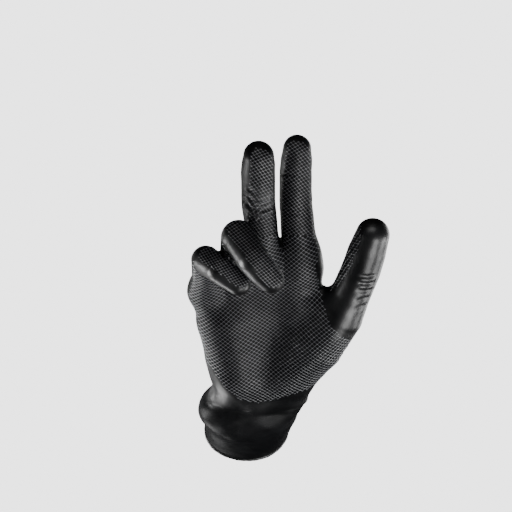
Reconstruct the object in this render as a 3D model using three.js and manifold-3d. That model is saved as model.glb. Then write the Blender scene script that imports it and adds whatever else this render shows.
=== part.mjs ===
// A right-hand nitrile exam glove in its worn form, in millimetres, +Z up.
// The palm faces -Y. The forefinger and middle finger stand up, the ring and little fingers curl
// forward, the thumb lies up the +X side, and the cuff runs back and down from the wrist.
// The origin is the centre of the cuff's mouth.
import * as THREE from "three";
import { triTable } from "three/addons/objects/MarchingCubes.js";
import { mergeVertices } from "three/addons/utils/BufferGeometryUtils.js";
import Module from "manifold-3d";

const wasm = await Module();
wasm.setup();
const radians = THREE.MathUtils.degToRad;

// Driving sizes
const PALM_LENGTH = 96; // from the wrist's centre to the middle finger's knuckle
const PALM_WIDTH = 82; // across the knuckles
const PALM_DEPTH = 28; // front to back through the middle of the palm
const FINGER_LENGTH = 84; // three bones of the middle finger, up to the centre of its round tip
const FINGER_WIDTH = 18.5; // across the forefinger's middle joint
const THUMB_LENGTH = 109; // three bones of the thumb, from the heel of the palm
const THUMB_WIDTH = 23; // across the thumb's last joint
const CUFF_LENGTH = 48; // from the cuff's mouth to the wrist's centre
const CUFF_WIDTH = 54; // across the mouth
const CUFF_DEPTH = 43; // front to back at the mouth
const CUFF_DRIFT = 5; // the mouth's shift toward the little finger's side
const WALL = 1.3; // the rubber film, thicker here than the real 0.2
const BEAD_WIDTH = 3; // the roll of film round the mouth

// Driving angles, in degrees
const PALM_LEAN = 27; // the palm's tilt toward the viewer
const WRIST_BEND = 31; // between the cuff's axis and the palm's

// The palm's frame has X across to the thumb's side, Y to the back of the hand and Z up the palm,
// and starts at the wrist's centre. Surfaces are cut finely across the palm and fingers, and
// coarsely along them.
const OUTER_CELL = { x: 3.8, y: 3.8, z: 5.6 };
const INNER_CELL = { x: 5.2, y: 5.2, z: 7.6 };
const BEAD_STEPS = 40;
const BEAD_SIDES = 8;

// The limbs. across, back and up place a limb's root, as shares of the palm's width, depth and
// length. A bone's length is a share of the limb's size, its clock angle turns from up the palm to
// the thumb's side, and its toward angle lifts it out of the palm's plane to the front. widths are
// shares of the limb's width, at each joint and halfway between, from root to tip. blend is how
// far round its root a limb flows into the palm, as a share of its width.
const FINGER = { length: FINGER_LENGTH, width: FINGER_WIDTH };
const THUMB = { length: THUMB_LENGTH, width: THUMB_WIDTH };
const PAD = { length: PALM_LENGTH, width: PALM_DEPTH };
const PADS = [
  {
    name: "thumb",
    size: THUMB,
    across: 0.29,
    back: -0.1,
    up: 0.229,
    bones: [
      { length: 0.467, clock: 36, toward: 7 },
      { length: 0.305, clock: 19, toward: -1 },
      { length: 0.229, clock: 15, toward: 0 },
    ],
    widths: [1.4, 1.5, 1.14, 1.04, 1.03, 1.0, 0.88],
    blend: 0.6,
  },
  {
    name: "outer_heel",
    size: PAD,
    across: -0.19,
    back: 0,
    up: 0.583,
    bones: [{ length: 0.36, clock: 171, toward: 6 }],
    widths: [0.98, 1.04, 1.0],
    blend: 0.5,
  },
  {
    name: "thumb_web",
    size: PAD,
    across: 0.36,
    back: 0,
    up: 0.72,
    bones: [{ length: 0.2, clock: 100, toward: 14 }],
    widths: [0.66, 0.5, 0.52],
    blend: 0.5,
  },
];
const FINGERS = [
  {
    name: "forefinger",
    size: FINGER,
    across: 0.349,
    back: 0,
    up: 0.966,
    bones: [
      { length: 0.49, clock: -5, toward: -2 },
      { length: 0.28, clock: -1, toward: 5 },
      { length: 0.168, clock: 3, toward: 5 },
    ],
    widths: [1.24, 1.12, 1.07, 1.04, 1.02, 1.0, 0.9],
    blend: 0.5,
  },
  {
    name: "middle_finger",
    size: FINGER,
    across: 0.09,
    back: -0.02,
    up: 0.998,
    bones: [
      { length: 0.535, clock: -6, toward: 15 },
      { length: 0.32, clock: -1, toward: 18 },
      { length: 0.15, clock: 2, toward: 19 },
    ],
    widths: [1.22, 1.04, 1.08, 1.07, 1.07, 1.04, 0.95],
    blend: 0.5,
  },
  {
    name: "ring_finger",
    size: FINGER,
    across: -0.147,
    back: -0.09,
    up: 0.953,
    bones: [
      { length: 0.52, clock: 5, toward: 36 },
      { length: 0.255, clock: 122, toward: 61 },
      { length: 0.19, clock: 141, toward: 3 },
    ],
    widths: [1.16, 1.02, 1.1, 1.05, 1.0, 0.95, 0.85],
    blend: 0.5,
  },
  {
    name: "little_finger",
    size: FINGER,
    across: -0.36,
    back: -0.11,
    up: 0.806,
    bones: [
      { length: 0.435, clock: 2, toward: 31 },
      { length: 0.2, clock: 84, toward: 60 },
      { length: 0.164, clock: 125, toward: 10 },
    ],
    widths: [1.0, 0.89, 0.92, 0.9, 0.88, 0.84, 0.78],
    blend: 0.5,
  },
];

// The body runs from the mouth, at 0, through the wrist's centre, at 1, to the knuckles, at 2.
// left, right, front and back are half sizes: shares of the cuff's width and depth below the
// wrist, and of the palm's above it. square is the outline's exponent, 2 for an ellipse.
const CUFF_ROWS = [
  { at: 0, left: 0.5, right: 0.5, front: 0.5, back: 0.58, square: 2 },
  { at: 0.35, left: 0.55, right: 0.5, front: 0.51, back: 0.55, square: 2.1 },
  { at: 0.7, left: 0.59, right: 0.54, front: 0.5, back: 0.5, square: 2.1 },
];
const PALM_ROWS = [
  { at: 1, left: 0.35, right: 0.38, front: 0.6, back: 0.7, square: 2.2 },
  { at: 1.12, left: 0.3, right: 0.4, front: 0.56, back: 0.6, square: 2.3 },
  { at: 1.35, left: 0.345, right: 0.41, front: 0.44, back: 0.52, square: 2.4 },
  { at: 1.6, left: 0.42, right: 0.43, front: 0.38, back: 0.48, square: 2.5 },
  { at: 1.8, left: 0.47, right: 0.46, front: 0.4, back: 0.46, square: 2.5 },
  { at: 2, left: 0.475, right: 0.48, front: 0.4, back: 0.42, square: 2.4 },
];
const KNUCKLE_RISE = 0.04; // how far the body's end lies above the knuckles, of the palm's length
const KNUCKLE_SLANT = 0.26; // how steeply that end falls to the little finger's side
const KNUCKLE_ROUND = 0.6; // how far round that end's edge the surface is eased, of the palm's depth
const WRIST_ROUND = 1; // the radius of the path's turn at the wrist, of the cuff's depth
const CREASE_FILL = 0.14; // how far two touching fingers flow together, of a finger's width

// Folds and dents of the body. at and around place a fold's middle, around in degrees from the
// thumb's side by way of the back. height is a share of the cuff's depth, long is its reach along
// the body and wide its reach round it, in degrees.
const FOLDS = [
  { name: "bunched bulge", at: 0.74, around: 190, height: 0.085, long: 0.18, wide: 34 },
  { name: "nub over the wrist", at: 0.98, around: 352, height: 0.07, long: 0.08, wide: 18 },
  { name: "crease under the outer heel", at: 1.0, around: 232, height: -0.07, long: 0.08, wide: 30 },
  { name: "crease under the thumb heel", at: 0.95, around: 310, height: -0.05, long: 0.08, wide: 24 },
  { name: "slack under the cuff", at: 0.62, around: 250, height: 0.04, long: 0.1, wide: 40 },
  { name: "dent behind the slack", at: 0.38, around: 244, height: -0.03, long: 0.1, wide: 34 },
  { name: "gather behind the wrist", at: 1.02, around: 90, height: -0.06, long: 0.1, wide: 50 },
  { name: "roll behind the wrist", at: 0.8, around: 95, height: 0.05, long: 0.1, wide: 46 },
];

// A bone's direction in the palm's frame.
function direction(clock, toward) {
  return new THREE.Vector3(
    Math.sin(radians(clock)) * Math.cos(radians(toward)),
    -Math.sin(radians(toward)),
    Math.cos(radians(clock)) * Math.cos(radians(toward)),
  );
}

// The lesser of two distances, with their meeting rounded over the given reach.
function blend(a, b, reach) {
  const overlap = Math.max(reach - Math.abs(a - b), 0);
  return Math.min(a, b) - (overlap * overlap) / (4 * reach);
}

// The half bones of a limb, each with its ends and the radius at both.
function halfBones(row) {
  const joint = new THREE.Vector3(
    row.across * PALM_WIDTH,
    row.back * PALM_DEPTH,
    row.up * PALM_LENGTH,
  );
  return row.bones.flatMap((bone, i) => {
    const along = direction(bone.clock, bone.toward);
    const length = (bone.length * row.size.length) / 2;
    return [0, 1].map((second) => {
      const radii = row.widths.slice(2 * i + second).map((width) => (width * row.size.width) / 2);
      const start = joint.clone();
      joint.addScaledVector(along, length);
      return { start, end: joint.clone(), along, length, startRadius: radii[0], endRadius: radii[1] };
    });
  });
}

// The distance from a point to a limb's surface, less than 0 inside it.
function toLimb(bones, point) {
  let nearest = Infinity;
  for (const { start, along, length, startRadius, endRadius } of bones) {
    const x = point.x - start.x;
    const y = point.y - start.y;
    const z = point.z - start.z;
    const reach = THREE.MathUtils.clamp(x * along.x + y * along.y + z * along.z, 0, length);
    const away = Math.hypot(x - reach * along.x, y - reach * along.y, z - reach * along.z);
    const radius = startRadius + ((endRadius - startRadius) * reach) / length;
    nearest = Math.min(nearest, away - radius);
  }
  return nearest;
}

// The rows of cuff and palm, with half sizes in millimetres.
const BODY_ROWS = [
  ...CUFF_ROWS.map((row) => ({ ...row, width: CUFF_WIDTH, depth: CUFF_DEPTH })),
  ...PALM_ROWS.map((row) => ({ ...row, width: PALM_WIDTH, depth: PALM_DEPTH })),
].map(({ at, left, right, front, back, square, width, depth }) => ({
  at,
  left: left * width,
  right: right * width,
  front: front * depth,
  back: back * depth,
  square,
}));

// The body's half sizes at a place along it, eased from row to row.
function sectionAt(at) {
  let i = 1;
  while (i < BODY_ROWS.length - 1 && BODY_ROWS[i].at < at) i += 1;
  const [from, to] = [BODY_ROWS[i - 1], BODY_ROWS[i]];
  const share = THREE.MathUtils.smoothstep(at, from.at, to.at);
  const value = (column) => from[column] + (to[column] - from[column]) * share;
  return {
    left: value("left"),
    right: value("right"),
    front: value("front"),
    back: value("back"),
    square: value("square"),
  };
}

// How far the folds lift the body's surface at a place along it and an angle round it.
function foldHeight(at, angle) {
  const apart = (a, b) => THREE.MathUtils.euclideanModulo(a - b + 180, 360) - 180;
  return FOLDS.reduce((sum, fold) => {
    const round = apart(THREE.MathUtils.radToDeg(angle), fold.around) / fold.wide;
    const lengthwise = (at - fold.at) / fold.long;
    return sum + fold.height * CUFF_DEPTH * Math.exp(-round * round - lengthwise * lengthwise);
  }, 0);
}

// Where a point lies by the body's own path, which follows the cuff's axis, turns at the wrist
// about a hub behind it, and follows the palm's axis.
const bend = radians(WRIST_BEND);
const turnRadius = WRIST_ROUND * CUFF_DEPTH;
const turnReach = turnRadius * Math.tan(bend / 2);
function byBody(point) {
  const fromHub = { y: point.y - turnRadius, z: point.z - turnReach };
  const angle = Math.atan2(-fromHub.z, -fromHub.y);
  let reach;
  let depthwise;
  if (angle < 0) {
    reach = point.z;
    depthwise = point.y;
  } else if (angle > bend) {
    reach = point.z * Math.cos(bend) - point.y * Math.sin(bend);
    depthwise = point.y * Math.cos(bend) + point.z * Math.sin(bend);
  } else {
    reach = turnReach * (1 - (2 * angle) / bend);
    depthwise = turnRadius - Math.hypot(fromHub.y, fromHub.z);
  }
  const at = 1 + reach / (reach > 0 ? PALM_LENGTH : CUFF_LENGTH);
  const drift = at < 1 ? CUFF_DRIFT * (1 - at) ** 2 : 0;
  return { at, reach, across: point.x + drift, depthwise };
}

// The distance from a point to the surface of cuff and palm, closed a little past the mouth.
const mouthOverrun = 3 * BEAD_WIDTH;
const AXIS_GAP = 1e-6; // keeps a point on the body's own path from dividing by 0
function toBody(point) {
  const { at, reach, across, depthwise } = byBody(point);
  const half = sectionAt(at);
  const wide = across > 0 ? half.right : half.left;
  const deep = depthwise > 0 ? half.back : half.front;
  const x = Math.abs(across) / wide;
  const y = Math.abs(depthwise) / deep;
  const ring = Math.max((x ** half.square + y ** half.square) ** (1 / half.square), AXIS_GAP);
  const slope = Math.hypot(
    (x / ring) ** (half.square - 1) / wide,
    (y / ring) ** (half.square - 1) / deep,
  );
  const side = (ring - 1) / slope - foldHeight(at, Math.atan2(depthwise, across));
  const end = reach - (1 + KNUCKLE_RISE) * PALM_LENGTH - KNUCKLE_SLANT * point.x;
  const capped = -blend(-side, -end, KNUCKLE_ROUND * PALM_DEPTH);
  return Math.max(capped, -(reach + CUFF_LENGTH + mouthOverrun));
}

// The distance from a point to the whole glove's outer surface. Each finger flows far into the
// palm, and only a little into a neighbour that it touches.
const padBones = PADS.map((row) => ({ bones: halfBones(row), reach: row.blend * row.size.width }));
const fingerBones = FINGERS.map((row) => ({
  bones: halfBones(row),
  reach: row.blend * row.size.width,
}));
function toGlove(point) {
  const palm = padBones.reduce(
    (sum, pad) => blend(sum, toLimb(pad.bones, point), pad.reach),
    toBody(point),
  );
  const fingers = fingerBones.map((finger) => toLimb(finger.bones, point));
  const rooted = fingers.map((finger, i) => blend(palm, finger, fingerBones[i].reach));
  const touching = fingers
    .slice(1)
    .map((finger, i) => blend(finger, fingers[i], CREASE_FILL * FINGER_WIDTH));
  return Math.min(...rooted, ...touching);
}

// The box that holds the whole glove.
function bounds() {
  const box = new THREE.Box3();
  const widest = Math.max(PALM_WIDTH, CUFF_WIDTH, CUFF_DEPTH);
  const mouth = direction(0, WRIST_BEND).multiplyScalar(-CUFF_LENGTH - mouthOverrun);
  box.expandByPoint(mouth).expandByPoint(new THREE.Vector3(0, 0, PALM_LENGTH));
  box.expandByVector(new THREE.Vector3(widest / 2, 0, 0));
  for (const { bones } of [...padBones, ...fingerBones]) {
    for (const { start, end } of bones) box.expandByPoint(start).expandByPoint(end);
  }
  return box.expandByScalar(CUFF_DEPTH / 2 + OUTER_CELL.z);
}

// The corners of a cell, and the two corners of each of its edges.
const CORNERS = [
  [0, 0, 0],
  [1, 0, 0],
  [1, 1, 0],
  [0, 1, 0],
  [0, 0, 1],
  [1, 0, 1],
  [1, 1, 1],
  [0, 1, 1],
];
const EDGES = [
  [0, 1],
  [1, 2],
  [2, 3],
  [3, 0],
  [4, 5],
  [5, 6],
  [6, 7],
  [7, 4],
  [0, 4],
  [1, 5],
  [2, 6],
  [3, 7],
];
// The four cells round an edge of the grid along each axis, as steps back along the next two axes,
// and which of its own edges each cell has there.
const ROUND_STEPS = [
  [-1, -1],
  [0, -1],
  [0, 0],
  [-1, 0],
];
const ROUND_EDGES = [
  [6, 4, 0, 2],
  [5, 1, 3, 7],
  [10, 11, 8, 9],
];

// Steps between the cells in a list of all their edges, and between the cases in three's table.
const EDGE_STEP = EDGES.length;
const CASE_STEP = 16;

// For each way that a surface can cross a cell, its separate patches, each a list of edges.
const PATCHES = Array.from({ length: 256 }, (_, crossing) => {
  const patches = [];
  for (let i = CASE_STEP * crossing; triTable[i] >= 0; i += 3) {
    const corners = [triTable[i], triTable[i + 1], triTable[i + 2]];
    const met = patches.filter((patch) => corners.some((edge) => patch.has(edge)));
    const joined = new Set([...corners, ...met.flatMap((patch) => [...patch])]);
    for (const patch of met) patches.splice(patches.indexOf(patch), 1);
    patches.push(joined);
  }
  return patches;
});

// A mesh of the surface that lies at a depth below the glove's outer one: one point for each patch
// of each cell, and a face across each edge of the grid that the surface crosses.
function surfaceAt(depth, cell) {
  const box = bounds();
  const size = [cell.x, cell.y, cell.z];
  const low = box.min.toArray();
  const counts = box.max.toArray().map((high, a) => Math.ceil((high - low[a]) / size[a]) + 1);
  const indexOf = (i, j, k) => i + counts[0] * (j + counts[1] * k);
  const placeOf = (i, j, k) =>
    new THREE.Vector3(low[0] + i * size[0], low[1] + j * size[1], low[2] + k * size[2]);
  const values = new Float64Array(counts[0] * counts[1] * counts[2]);
  const eachPlace = (visit) => {
    for (let k = 0; k < counts[2]; k += 1)
      for (let j = 0; j < counts[1]; j += 1) for (let i = 0; i < counts[0]; i += 1) visit(i, j, k);
  };
  eachPlace((i, j, k) => {
    values[indexOf(i, j, k)] = toGlove(placeOf(i, j, k)) + depth;
  });

  const points = [];
  const pointAt = new Map();
  eachPlace((i, j, k) => {
    if (i + 1 === counts[0] || j + 1 === counts[1] || k + 1 === counts[2]) return;
    const corners = CORNERS.map(([x, y, z]) => [i + x, j + y, k + z]);
    const held = corners.map((corner) => values[indexOf(...corner)]);
    const crossing = held.reduce((bits, value, c) => bits + (value < 0 ? 2 ** c : 0), 0);
    for (const patch of PATCHES[crossing]) {
      const middle = new THREE.Vector3();
      for (const edge of patch) {
        const [a, b] = EDGES[edge];
        const share = held[a] / (held[a] - held[b]);
        middle.add(placeOf(...corners[a]).lerp(placeOf(...corners[b]), share));
        pointAt.set(EDGE_STEP * indexOf(i, j, k) + edge, points.length);
      }
      points.push(middle.divideScalar(patch.size));
    }
  });

  const faces = [];
  eachPlace((...place) => {
    const near = values[indexOf(...place)];
    for (const axis of [0, 1, 2]) {
      if (place[axis] + 1 === counts[axis]) continue;
      const next = [...place];
      next[axis] += 1;
      if (near < 0 === values[indexOf(...next)] < 0) continue;
      const quad = ROUND_STEPS.map(([back, side], n) => {
        const round = [...place];
        round[(axis + 1) % 3] += back;
        round[(axis + 2) % 3] += side;
        return pointAt.get(EDGE_STEP * indexOf(...round) + ROUND_EDGES[axis][n]);
      });
      if (near >= 0) quad.reverse();
      const [a, b, c, d] = quad;
      const short = points[a].distanceTo(points[c]) < points[b].distanceTo(points[d]);
      faces.push(...(short ? [[a, b, c], [a, c, d]] : [[b, c, d], [b, d, a]]));
    }
  });
  settle(points, faces, depth);
  return { points, faces };
}

// Evens out a mesh's points and lays them on the surface at a depth.
const SETTLE_ROUNDS = 4;
const PROBE = 0.05;
const GENTLEST_SLOPE = 0.25; // its square, so that a point in a crease doesn't leap
function settle(points, faces, depth) {
  const neighbours = points.map(() => new Set());
  for (const [a, b, c] of faces) {
    neighbours[a].add(b).add(c);
    neighbours[b].add(c).add(a);
    neighbours[c].add(a).add(b);
  }
  const steps = [new THREE.Vector3(1, 0, 0), new THREE.Vector3(0, 1, 0), new THREE.Vector3(0, 0, 1)];
  const slopeAt = (point) =>
    new THREE.Vector3(
      ...steps.map((step) => {
        const ahead = toGlove(point.clone().addScaledVector(step, PROBE));
        const behind = toGlove(point.clone().addScaledVector(step, -PROBE));
        return (ahead - behind) / (2 * PROBE);
      }),
    );
  for (let round = 0; round < SETTLE_ROUNDS; round += 1) {
    const middles = points.map((point, i) => {
      const middle = new THREE.Vector3();
      for (const j of neighbours[i]) middle.add(points[j]);
      return middle.divideScalar(neighbours[i].size).lerp(point, 0.5);
    });
    middles.forEach((middle, i) => {
      const slope = slopeAt(middle);
      const off = toGlove(middle) + depth;
      points[i].copy(middle).addScaledVector(slope, -off / Math.max(slope.lengthSq(), GENTLEST_SLOPE));
    });
  }
}

// A solid from flat lists of its points' places and its triangles' corners.
function solidOf(places, corners) {
  return new wasm.Manifold(
    new wasm.Mesh({
      numProp: 3,
      vertProperties: new Float32Array(places),
      triVerts: new Uint32Array(corners),
    }),
  );
}

// A solid from points and triangles.
function solid({ points, faces }) {
  return solidOf(
    points.flatMap((point) => point.toArray()),
    faces.flat(),
  );
}

// The mouth's centre, and the turn from a section's frame to the palm's.
const mouthCentre = direction(0, WRIST_BEND).multiplyScalar(-CUFF_LENGTH);
mouthCentre.x -= CUFF_DRIFT;
const mouthTurn = new THREE.Quaternion().setFromAxisAngle(new THREE.Vector3(1, 0, 0), bend);

// What is cut away so that the cuff ends flat at its mouth.
function pastMouth() {
  const width = 2 * (CUFF_WIDTH + CUFF_DEPTH);
  const block = new THREE.BoxGeometry(width, width, 2 * mouthOverrun)
    .translate(0, 0, -mouthOverrun)
    .applyQuaternion(mouthTurn)
    .translate(...mouthCentre.toArray());
  const merged = mergeVertices(block.deleteAttribute("normal").deleteAttribute("uv"));
  return solidOf(merged.attributes.position.array, merged.index.array);
}

// The rolled bead: a round ring along the middle of the wall, round the mouth.
function bead() {
  const { left, right, front, back } = sectionAt(0);
  const points = [];
  const faces = [];
  const index = (ring, side) => (ring % BEAD_STEPS) * BEAD_SIDES + (side % BEAD_SIDES);
  for (let k = 0; k < BEAD_STEPS; k += 1) {
    const angle = (2 * Math.PI * k) / BEAD_STEPS;
    const [cos, sin] = [Math.cos(angle), Math.sin(angle)];
    const lift = foldHeight(0, angle) - WALL / 2;
    const wide = (cos > 0 ? right : left) + lift;
    const deep = (sin > 0 ? back : front) + lift;
    const outward = new THREE.Vector3(cos * deep, sin * wide, 0).normalize();
    for (let j = 0; j < BEAD_SIDES; j += 1) {
      const turn = (2 * Math.PI * (j + 0.5)) / BEAD_SIDES;
      const point = new THREE.Vector3(cos * wide, sin * deep, (Math.sin(turn) * BEAD_WIDTH) / 2);
      point.addScaledVector(outward, (Math.cos(turn) * BEAD_WIDTH) / 2);
      points.push(point.applyQuaternion(mouthTurn).add(mouthCentre));
      const [a, b, c, d] = [index(k, j), index(k + 1, j), index(k + 1, j + 1), index(k, j + 1)];
      faces.push([a, b, c], [a, c, d]);
    }
  }
  return solid({ points, faces });
}

// The film: the outer form less the inner one, open at the mouth, with the bead on its edge.
function film() {
  const outer = solid(surfaceAt(0, OUTER_CELL));
  const inner = solid(surfaceAt(WALL, INNER_CELL));
  return outer.subtract(inner).subtract(pastMouth()).add(bead());
}

function geometryOf(manifold) {
  const mesh = manifold.getMesh();
  const geometry = new THREE.BufferGeometry();
  geometry.setAttribute("position", new THREE.BufferAttribute(mesh.vertProperties, 3));
  geometry.setIndex(new THREE.BufferAttribute(mesh.triVerts, 1));
  geometry.computeVertexNormals();
  return geometry;
}

const nitrile = new THREE.MeshStandardMaterial({ color: 0x15161a, roughness: 0.42, metalness: 0 });

const glove = new THREE.Mesh(geometryOf(film()), nitrile);
glove.name = "glove";
glove.position.copy(mouthCentre).negate();

// The palm's frame leans toward the viewer about the cuff's mouth.
const worn = new THREE.Group();
worn.rotation.x = radians(PALM_LEAN);
worn.add(glove);

export default worn;
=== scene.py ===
"""A black nitrile exam glove in its worn, gripping form: a thin satin film with a raised grip net."""

import math

import bpy
import numpy as np
from bpy.props import FloatProperty, FloatVectorProperty, PointerProperty
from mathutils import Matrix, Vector


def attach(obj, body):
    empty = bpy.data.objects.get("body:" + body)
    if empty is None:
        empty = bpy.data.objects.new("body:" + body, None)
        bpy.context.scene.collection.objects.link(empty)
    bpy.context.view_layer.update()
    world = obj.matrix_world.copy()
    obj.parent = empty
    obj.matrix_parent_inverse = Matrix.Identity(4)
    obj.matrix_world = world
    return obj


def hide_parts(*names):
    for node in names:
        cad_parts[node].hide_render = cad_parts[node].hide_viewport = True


bl_info = {
    "name": "Nitrile glove",
    "version": (1, 0, 0),
    "blender": (4, 5, 0),
    "location": "View3D > Sidebar > Glove",
    "description": "Builds a worn nitrile glove over its packed frame",
    "category": "Object",
}

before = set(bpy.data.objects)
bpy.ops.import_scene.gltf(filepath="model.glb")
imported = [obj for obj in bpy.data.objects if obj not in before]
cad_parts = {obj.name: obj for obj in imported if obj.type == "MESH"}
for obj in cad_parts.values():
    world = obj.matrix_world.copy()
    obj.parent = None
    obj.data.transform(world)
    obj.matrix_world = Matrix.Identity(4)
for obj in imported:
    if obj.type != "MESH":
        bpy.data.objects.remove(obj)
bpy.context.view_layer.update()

# The glove's sizes in millimetres, the same as in the frame's own source
PALM_LENGTH = 96
PALM_WIDTH = 82
PALM_DEPTH = 28
FINGER_LENGTH = 84
FINGER_WIDTH = 18.5
THUMB_LENGTH = 109
THUMB_WIDTH = 23
CUFF_LENGTH = 48
CUFF_WIDTH = 54
CUFF_DEPTH = 43
CUFF_DRIFT = 5
PALM_LEAN = math.radians(27)
WRIST_BEND = math.radians(31)
KNUCKLE_RISE = 0.04
KNUCKLE_SLANT = 0.26
KNUCKLE_ROUND = 0.6
CREASE_FILL = 0.14
MM = 0.001

# Each limb: its size, its root as shares of the palm's width, depth and length, its bones as
# (share of length, clock angle, lift toward the front), its widths from root to tip at each joint
# and halfway between, and how far it flows into the palm.
FINGER = (FINGER_LENGTH, FINGER_WIDTH)
THUMB = (THUMB_LENGTH, THUMB_WIDTH)
PAD = (PALM_LENGTH, PALM_DEPTH)
PADS = {
    "thumb": (
        THUMB, (0.29, -0.1, 0.229), ((0.467, 36, 7), (0.305, 19, -1), (0.229, 15, 0)),
        (1.4, 1.5, 1.14, 1.04, 1.03, 1.0, 0.88), 0.6,
    ),
    "outer_heel": (PAD, (-0.19, 0, 0.583), ((0.36, 171, 6),), (0.98, 1.04, 1.0), 0.5),
    "thumb_web": (PAD, (0.36, 0, 0.72), ((0.2, 100, 14),), (0.66, 0.5, 0.52), 0.5),
}
FINGERS = {
    "forefinger": (
        FINGER, (0.349, 0, 0.966), ((0.49, -5, -2), (0.28, -1, 5), (0.168, 3, 5)),
        (1.24, 1.12, 1.07, 1.04, 1.02, 1.0, 0.9), 0.5,
    ),
    "middle_finger": (
        FINGER, (0.09, -0.02, 0.998), ((0.535, -6, 15), (0.32, -1, 18), (0.15, 2, 19)),
        (1.22, 1.04, 1.08, 1.07, 1.07, 1.04, 0.95), 0.5,
    ),
    "ring_finger": (
        FINGER, (-0.147, -0.09, 0.953), ((0.52, 5, 36), (0.255, 122, 61), (0.19, 141, 3)),
        (1.16, 1.02, 1.1, 1.05, 1.0, 0.95, 0.85), 0.5,
    ),
    "little_finger": (
        FINGER, (-0.36, -0.11, 0.806), ((0.435, 2, 31), (0.2, 84, 60), (0.164, 125, 10)),
        (1.0, 0.89, 0.92, 0.9, 0.88, 0.84, 0.78), 0.5,
    ),
}

# The body's outline at places along it, from the mouth, 0, through the wrist, 1, to the knuckles,
# 2: half sizes to the left, right, front and back in millimetres, and the outline's exponent.
CUFF_ROWS = (
    (0, 0.5, 0.5, 0.5, 0.58, 2),
    (0.35, 0.55, 0.5, 0.51, 0.55, 2.1),
    (0.7, 0.59, 0.54, 0.5, 0.5, 2.1),
)
PALM_ROWS = (
    (1, 0.35, 0.38, 0.6, 0.7, 2.2),
    (1.12, 0.3, 0.4, 0.56, 0.6, 2.3),
    (1.35, 0.345, 0.41, 0.44, 0.52, 2.4),
    (1.6, 0.42, 0.43, 0.38, 0.48, 2.5),
    (1.8, 0.47, 0.46, 0.4, 0.46, 2.5),
    (2, 0.475, 0.48, 0.4, 0.42, 2.4),
)
ROW_SCALES = [(1, CUFF_WIDTH, CUFF_WIDTH, CUFF_DEPTH, CUFF_DEPTH, 1)] * len(CUFF_ROWS)
ROW_SCALES += [(1, PALM_WIDTH, PALM_WIDTH, PALM_DEPTH, PALM_DEPTH, 1)] * len(PALM_ROWS)
BODY_ROWS = np.array(CUFF_ROWS + PALM_ROWS) * np.array(ROW_SCALES)

# The body's broad folds: place along it, angle round it from the thumb's side by way of the back,
# height as a share of the cuff's depth, reach along the body, and reach round it in degrees.
FOLDS = (
    (0.74, 190, 0.085, 0.18, 34),
    (0.98, 352, 0.07, 0.08, 18),
    (1.0, 232, -0.07, 0.08, 30),
    (0.95, 310, -0.05, 0.08, 24),
    (0.62, 250, 0.04, 0.1, 40),
    (0.38, 244, -0.03, 0.1, 34),
    (1.02, 90, -0.06, 0.1, 50),
    (0.8, 95, 0.05, 0.1, 46),
)

# Where the camera stands, in millimetres, and half the width of its view at 1 mm
EYE = np.array((6.3, -1062.0, 114.5))
HALF_VIEW = 0.15872
PICTURE = 512

# Fine creases and soft ridges, each drawn as a line over the front view in the picture's own
# 512 parts, with its height in millimetres, less than 0 for a crease, and its half width in parts.
FRONT_LINES = (
    # middle finger, across its middle joint
    (((246, 207), (257, 211), (266, 210), (277, 204)), -1.25, 2.0),
    (((253, 202), (260, 205), (268, 203), (276, 198)), -0.9, 1.8),
    (((250, 215), (259, 218), (268, 217), (277, 212)), -0.85, 1.8),
    (((240, 197), (246, 202), (250, 209)), -1.0, 1.8),
    (((239, 204), (244, 209), (247, 215)), -0.8, 1.7),
    (((241, 191), (248, 197), (254, 203)), -0.85, 1.7),
    (((245, 185), (251, 191), (257, 196)), -0.45, 1.7),
    (((240, 210), (243, 214), (245, 219)), -0.35, 1.4),
    # forefinger, across the waist below its last joint
    (((280, 173), (287, 175), (296, 174)), -0.5, 1.9),
    (((280, 179), (286, 181), (293, 181)), -0.4, 1.8),
    # thumb, across the fold over its lower joint
    (((377, 275), (368, 277), (358, 276)), -0.5, 1.7),
    (((377, 282), (368, 284), (357, 283)), -0.55, 1.7),
    (((375, 289), (366, 291), (356, 291)), -0.45, 1.7),
    (((371, 296), (364, 299), (355, 301)), -0.4, 1.7),
    (((368, 303), (360, 307), (352, 310)), -0.25, 1.8),
)


def direction(clock, toward):
    """A bone's direction in the palm's frame."""
    clock, toward = math.radians(clock), math.radians(toward)
    level = math.cos(toward)
    return np.array((math.sin(clock) * level, -math.sin(toward), math.cos(clock) * level))


def tilt(angle):
    """The turn about the X axis by an angle."""
    cosine, sine = math.cos(angle), math.sin(angle)
    return np.array(((1, 0, 0), (0, cosine, -sine), (0, sine, cosine)))


MOUTH_AXIS = np.array((0, -math.sin(WRIST_BEND), math.cos(WRIST_BEND)))
MOUTH_CENTRE = MOUTH_AXIS * -CUFF_LENGTH - np.array((CUFF_DRIFT, 0, 0))
LEAN = tilt(PALM_LEAN)


def to_row(points):
    """Points of the palm's frame, in the row frame, in millimetres."""
    return (points - MOUTH_CENTRE) @ LEAN.T


def from_row(points):
    """Points of the row frame, in the palm's frame."""
    return points @ LEAN + MOUTH_CENTRE


def front_view(points):
    """Where points of the palm's frame show in the front view, in its 512 parts."""
    seen = to_row(points) - EYE
    scale = PICTURE / 2 / HALF_VIEW / seen[:, 1]
    return np.stack((PICTURE / 2 + seen[:, 0] * scale, PICTURE / 2 - seen[:, 2] * scale), 1)


def smooth(value, start, end):
    """0 before start, 1 after end, and eased between."""
    share = np.clip((value - start) / (end - start), 0, 1)
    return share * share * (3 - 2 * share)


def blend(a, b, reach):
    """The lesser of two distances, with their meeting rounded over a reach."""
    overlap = np.maximum(reach - np.abs(a - b), 0)
    return np.minimum(a, b) - overlap * overlap / (4 * reach)


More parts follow.
